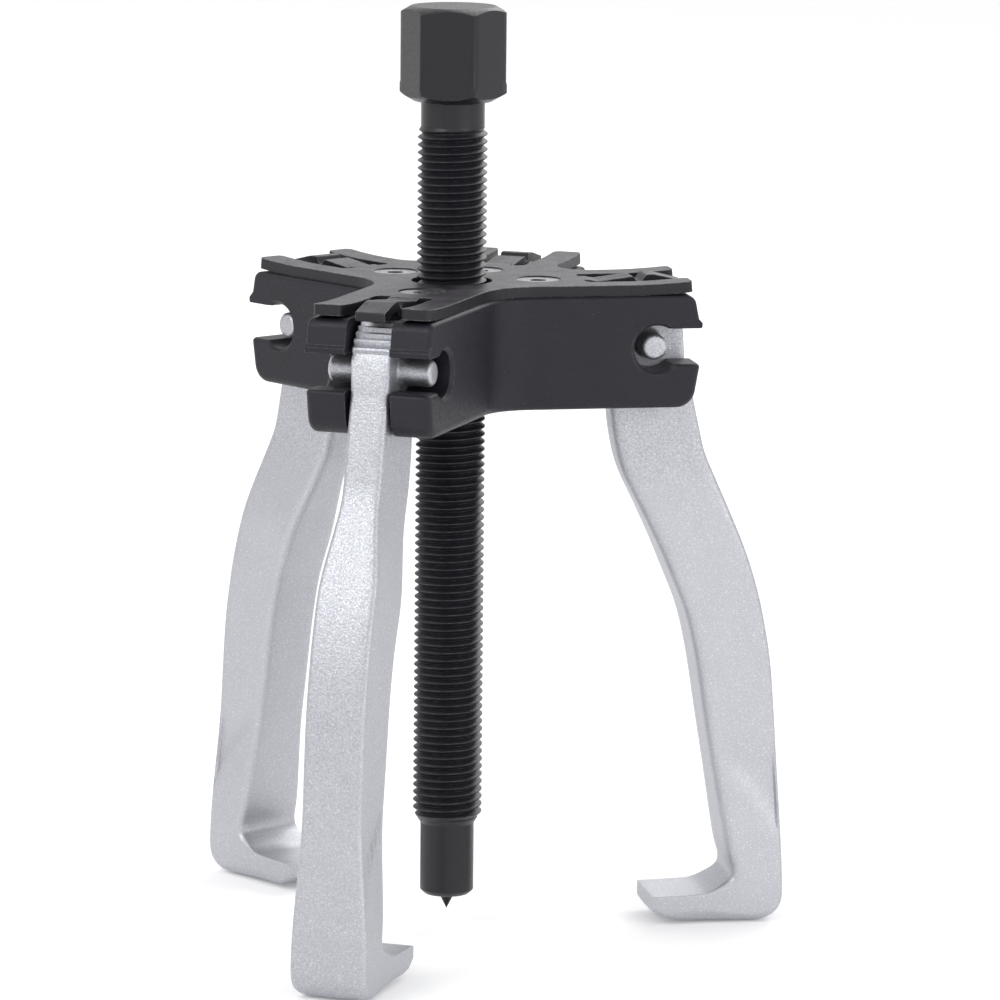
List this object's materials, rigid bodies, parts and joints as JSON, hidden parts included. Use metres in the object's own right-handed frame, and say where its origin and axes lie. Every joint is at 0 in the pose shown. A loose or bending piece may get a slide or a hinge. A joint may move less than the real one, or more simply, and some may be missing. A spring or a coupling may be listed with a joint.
{
  "type": "gear puller",
  "caption": "Gear puller with a forked four-arm head, swinging hook legs held by spring fingers, and a hexagon-headed forcing screw with a centre point.",
  "frame": {"origin": "on the axis of the forcing screw, at the lower edge of its plain round nose", "axes": "+Z along the screw towards its hexagon; the front leg hangs on the -Y arm, the spare arm points to +Y"},
  "size_m": [0.1636, 0.1513, 0.2417],
  "materials": {
    "head_forging": "matt black phosphated steel forging",
    "cover_spring_steel": "black oxide on stamped spring steel, scuffed on top",
    "spindle_steel": "oiled black oxide on rolled thread",
    "point_steel": "hardened steel, darkened",
    "screw_zinc": "zinc plated",
    "leg_zinc": "zinc plated over a shot-blasted forging"
  },
  "bodies": {
    "head": {"head_body": "head_forging", "cover_plate": "cover_spring_steel", "cover_screw_front": "screw_zinc", "cover_screw_right": "screw_zinc", "cover_screw_back": "screw_zinc", "cover_screw_left": "screw_zinc"},
    "front_leg": {"leg_front": "leg_zinc"},
    "right_leg": {"leg_right": "leg_zinc"},
    "left_leg": {"leg_left": "leg_zinc"},
    "point": {"centre_point": "point_steel"},
    "screw": {"spindle": "spindle_steel"}
  },
  "joints": [
    {"name": "front_leg_swing", "type": "hinge", "parent": "head", "child": "front_leg", "pos_m": [0, -0.051, 0.1445], "axis": [-1, 0, 0], "range_deg": [-15, 35]},
    {"name": "right_leg_swing", "type": "hinge", "parent": "head", "child": "right_leg", "pos_m": [0.04417, 0.0255, 0.1445], "axis": [0.5, -0.866, 0], "range_deg": [-15, 35]},
    {"name": "left_leg_swing", "type": "hinge", "parent": "head", "child": "left_leg", "pos_m": [-0.04417, 0.0255, 0.1445], "axis": [0.5, 0.866, 0], "range_deg": [-15, 35]},
    {"name": "screw_feed", "type": "slide", "parent": "head", "child": "point", "axis": [0, 0, 1], "range_m": [-0.04, 0.104]},
    {"name": "screw_turn", "type": "hinge", "parent": "point", "child": "screw", "pos_m": [0, 0, 0], "axis": [0, 0, 1], "range_deg": [-7380, 18900]}
  ],
  "couplings": [
    {"joint": "screw_turn", "follows": "screw_feed", "rad_per_m": 3141.6}
  ]
}
